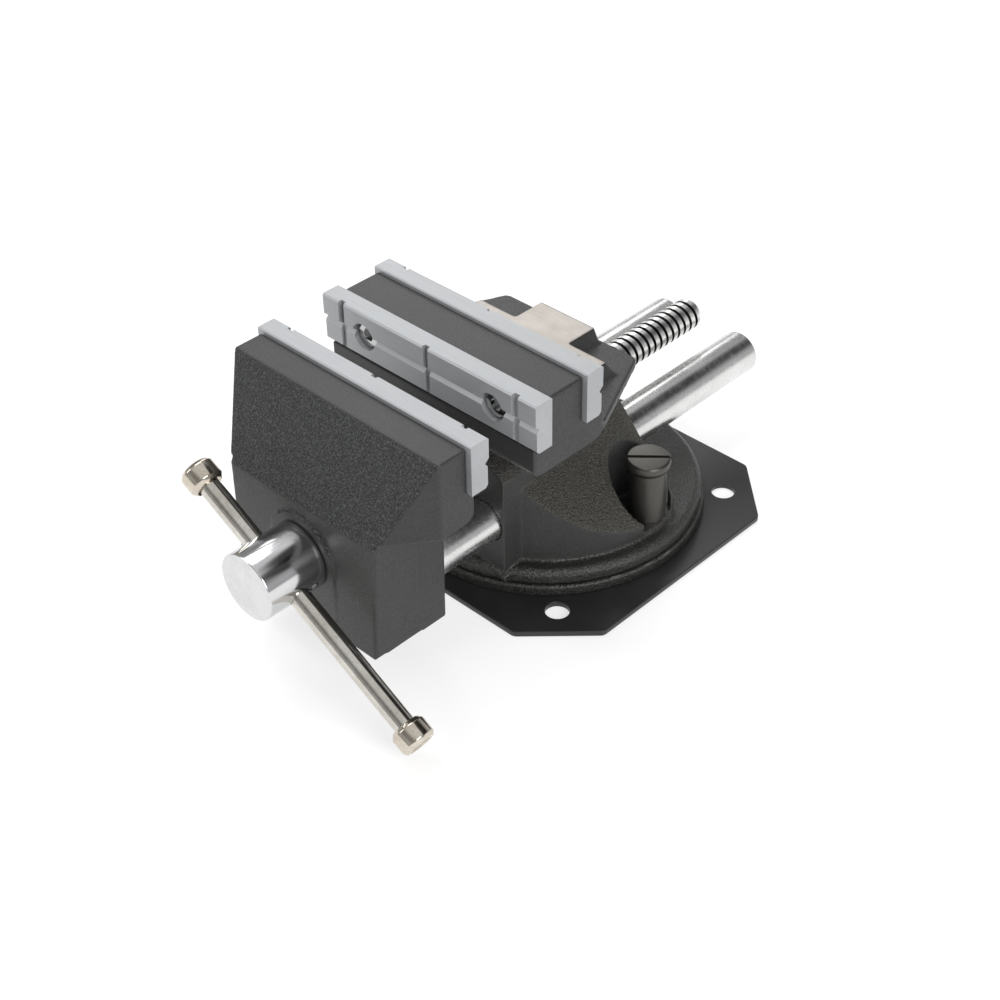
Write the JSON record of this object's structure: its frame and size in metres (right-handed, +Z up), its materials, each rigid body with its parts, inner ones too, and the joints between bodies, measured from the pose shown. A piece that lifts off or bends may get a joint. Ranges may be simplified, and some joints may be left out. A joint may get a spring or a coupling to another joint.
{
  "type": "bench vise",
  "caption": "Swivel-base bench vise with a clamping screw between round guide bars, padded jaws, a rear working pad, a small anvil face and a sliding handle.",
  "frame": {"origin": "swivel axis on the underside of the base plate", "axes": "+Z up along the swivel axis, +Y from the moving front jaw towards the back, +X to the operator's right along the jaws"},
  "size_m": [0.1529, 0.2658, 0.1104],
  "materials": {
    "base_black": "satin black enamel on pressed steel",
    "casting_black": "charcoal powder coat on cast iron",
    "pad_grey": "light grey satin paint on steel",
    "polished_steel": "polished bright steel",
    "bright_steel": "turned bright steel",
    "dark_steel": "dark oiled turned steel",
    "zinc_screw": "bright zinc socket screws",
    "nut_bronze": "turned bronze nut",
    "nickel_caps": "nickel plated steel"
  },
  "bodies": {
    "base": {"base_plate": "base_black", "swivel_base_ring": "casting_black", "swivel_centre_disc": "casting_black", "base_rivets": "dark_steel"},
    "body": {"body_casting": "casting_black", "pivot_screw": "dark_steel", "screw_nut": "nut_bronze", "nut_locking_screw": "dark_steel", "swivel_lock_washer_right": "bright_steel", "swivel_lock_washer_left": "bright_steel", "lock_t_bolt_right": "dark_steel", "lock_t_bolt_left": "dark_steel", "fixed_jaw_pad_front": "pad_grey", "fixed_jaw_pad_rear": "pad_grey", "fixed_jaw_pad_front_screws": "zinc_screw", "fixed_jaw_pad_rear_screws": "zinc_screw"},
    "lock_right": {"swivel_lock_nut_right": "dark_steel"},
    "lock_left": {"swivel_lock_nut_left": "dark_steel"},
    "front_jaw": {"front_jaw": "casting_black", "front_jaw_pad": "pad_grey", "front_jaw_pad_screws": "zinc_screw", "guide_bar_right": "polished_steel", "guide_bar_left": "polished_steel", "guide_bar_set_screws": "dark_steel", "thrust_washer": "nut_bronze"},
    "screw": {"lead_screw": "bright_steel", "screw_hub": "polished_steel", "hub_pin": "bright_steel", "retaining_collar": "dark_steel", "collar_pin": "dark_steel"},
    "handle": {"handle_bar": "bright_steel", "handle_cap_upper": "nickel_caps", "handle_cap_lower": "nickel_caps"}
  },
  "joints": [
    {"name": "base_swivel", "type": "hinge", "parent": "base", "child": "body", "pos_m": [0, 0, 0.01], "axis": [0, 0, 1], "continuous": true},
    {"name": "jaw_slide", "type": "slide", "parent": "body", "child": "front_jaw", "axis": [0, -1, 0], "range_m": [-0.0236, 0.068]},
    {"name": "screw_turn", "type": "hinge", "parent": "front_jaw", "child": "screw", "pos_m": [0, -0.12, 0.0513], "axis": [0, -1, 0], "range_deg": [-2160, 6480]},
    {"name": "handle_slide", "type": "slide", "parent": "screw", "child": "handle", "axis": [0.8771, 0, -0.4802], "range_m": [-0.0606, 0.0264]},
    {"name": "lock_right_turn", "type": "hinge", "parent": "body", "child": "lock_right", "pos_m": [0.0516, 0.004, 0.03], "axis": [0, 0, 1], "range_deg": [0, 180]},
    {"name": "lock_left_turn", "type": "hinge", "parent": "body", "child": "lock_left", "pos_m": [-0.0516, 0.004, 0.03], "axis": [0, 0, 1], "range_deg": [0, 180]}
  ],
  "couplings": [
    {"joint": "screw_turn", "follows": "jaw_slide", "rad_per_m": 1570.8}
  ]
}
